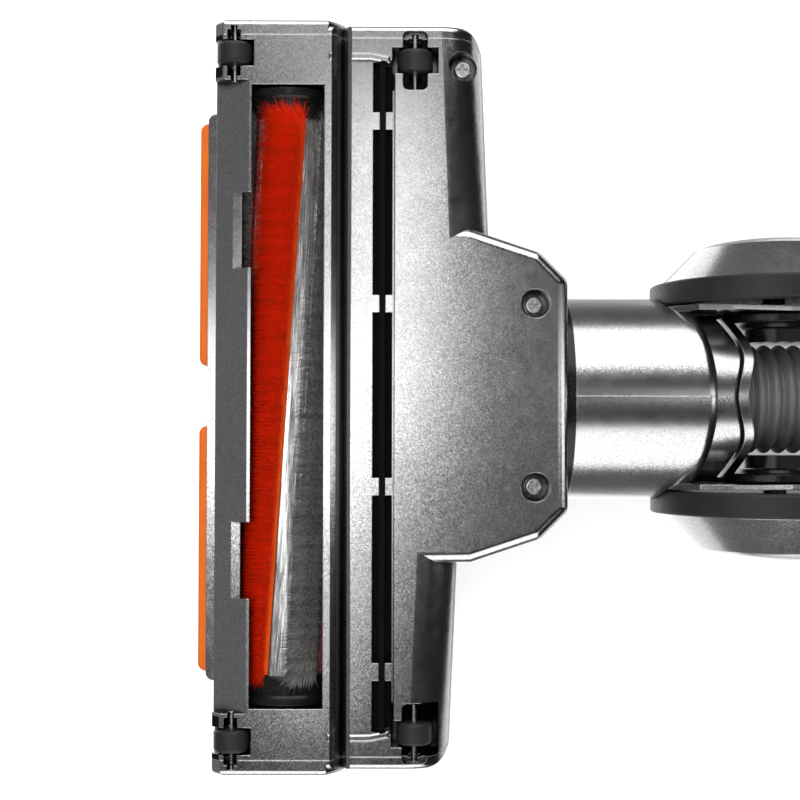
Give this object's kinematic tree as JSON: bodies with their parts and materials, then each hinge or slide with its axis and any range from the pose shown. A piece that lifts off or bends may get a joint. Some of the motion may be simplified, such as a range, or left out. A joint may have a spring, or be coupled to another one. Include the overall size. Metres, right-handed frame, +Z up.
{
  "type": "vacuum floor brush head",
  "caption": "Powered floor head of a cordless stick vacuum: striped brush roll under a silver casing, orange bumpers, swivel neck on domed wheels and a tilting wand connector",
  "frame": {"origin": "centre of the bounding box, on the floor that the wheels and rollers stand on", "axes": "X along the brush roll, motor bay on the +X side; Y from the front bumpers to the wand connector; Z up"},
  "size_m": [0.2436, 0.2886, 0.086],
  "materials": {
    "silver_casing": "metallic silver paint with fine flake",
    "orange_rubber": "matt",
    "black_rubber": "matt",
    "tyre_rubber": "matt",
    "black_plastic": "satin",
    "steel": "bright",
    "roll_aluminium": "polished",
    "red_bristle": "fibres",
    "grey_bristle": "fibres",
    "motor_can": "satin",
    "contact_brass": "bright"
  },
  "bodies": {
    "head": {"base_plate": "silver_casing", "top_cover": "silver_casing", "bumper_frame_right": "silver_casing", "bumper_frame_left": "silver_casing", "bumper_strip_right": "orange_rubber", "bumper_strip_left": "orange_rubber", "rubber_blade": "black_rubber", "roller_axles": "steel", "cover_screws": "steel", "brush_motor": "motor_can", "motor_bracket": "steel", "drive_belt": "black_rubber", "brush_bearings": "steel", "suction_duct": "black_plastic"},
    "brush": {"brush_core": "roll_aluminium", "brush_plug_drive": "black_plastic", "brush_plug_plain": "black_plastic", "brush_pulley": "black_plastic", "bristle_strips_red": "red_bristle", "bristle_strips_grey": "grey_bristle"},
    "rotor": {"motor_shaft": "steel", "motor_armature": "steel", "motor_pulley": "black_plastic"},
    "front_right_roller": {"roller_front_right": "tyre_rubber"},
    "front_left_roller": {"roller_front_left": "tyre_rubber"},
    "rear_right_roller": {"roller_rear_right": "tyre_rubber"},
    "rear_left_roller": {"roller_rear_left": "tyre_rubber"},
    "neck": {"neck_shell_right": "silver_casing", "neck_shell_left": "silver_casing", "swivel_ring": "black_plastic", "neck_duct": "black_plastic", "corrugated_hose": "black_rubber", "stub_axle_right": "black_plastic", "stub_axle_left": "black_plastic", "axle_washers": "steel"},
    "right_wheel": {"wheel_tyre_right": "tyre_rubber", "wheel_hub_right": "black_plastic", "wheel_cap_right": "silver_casing"},
    "left_wheel": {"wheel_tyre_left": "tyre_rubber", "wheel_hub_left": "black_plastic", "wheel_cap_left": "silver_casing"},
    "connector": {"connector_body": "black_plastic", "contact_block": "black_plastic", "contact_pins": "contact_brass"},
    "button": {"release_button": "silver_casing"}
  },
  "joints": [
    {"name": "brush_spin", "type": "hinge", "parent": "head", "child": "brush", "pos_m": [0, -0.1149, 0.0208], "axis": [1, 0, 0], "continuous": true},
    {"name": "rotor_spin", "type": "hinge", "parent": "head", "child": "rotor", "pos_m": [0.1, -0.0689, 0.0208], "axis": [1, 0, 0], "continuous": true},
    {"name": "front_right_roller_spin", "type": "hinge", "parent": "head", "child": "front_right_roller", "pos_m": [0.1108, -0.1316, 0.0058], "axis": [1, 0, 0], "continuous": true},
    {"name": "front_left_roller_spin", "type": "hinge", "parent": "head", "child": "front_left_roller", "pos_m": [-0.1108, -0.1316, 0.0058], "axis": [1, 0, 0], "continuous": true},
    {"name": "rear_right_roller_spin", "type": "hinge", "parent": "head", "child": "rear_right_roller", "pos_m": [0.1084, -0.0729, 0.0058], "axis": [1, 0, 0], "continuous": true},
    {"name": "rear_left_roller_spin", "type": "hinge", "parent": "head", "child": "rear_left_roller", "pos_m": [-0.1084, -0.0729, 0.0058], "axis": [1, 0, 0], "continuous": true},
    {"name": "neck_swivel", "type": "hinge", "parent": "head", "child": "neck", "pos_m": [0, -0.0233, 0.043], "axis": [0, 1, 0], "range_deg": [-90, 90]},
    {"name": "right_wheel_spin", "type": "hinge", "parent": "neck", "child": "right_wheel", "pos_m": [0.036, 0.0543, 0.043], "axis": [1, 0, 0], "continuous": true},
    {"name": "left_wheel_spin", "type": "hinge", "parent": "neck", "child": "left_wheel", "pos_m": [-0.036, 0.0543, 0.043], "axis": [1, 0, 0], "continuous": true},
    {"name": "wand_tilt", "type": "hinge", "parent": "neck", "child": "connector", "pos_m": [0, 0.0543, 0.043], "axis": [1, 0, 0], "range_deg": [0, 90], "deforming": ["corrugated_hose"]},
    {"name": "button_press", "type": "slide", "parent": "connector", "child": "button", "axis": [0, 0, -1], "range_m": [0, 0.002], "stiffness_N_per_m": 400}
  ],
  "couplings": [
    {"joint": "rotor_spin", "follows": "brush_spin", "ratio": 2}
  ]
}
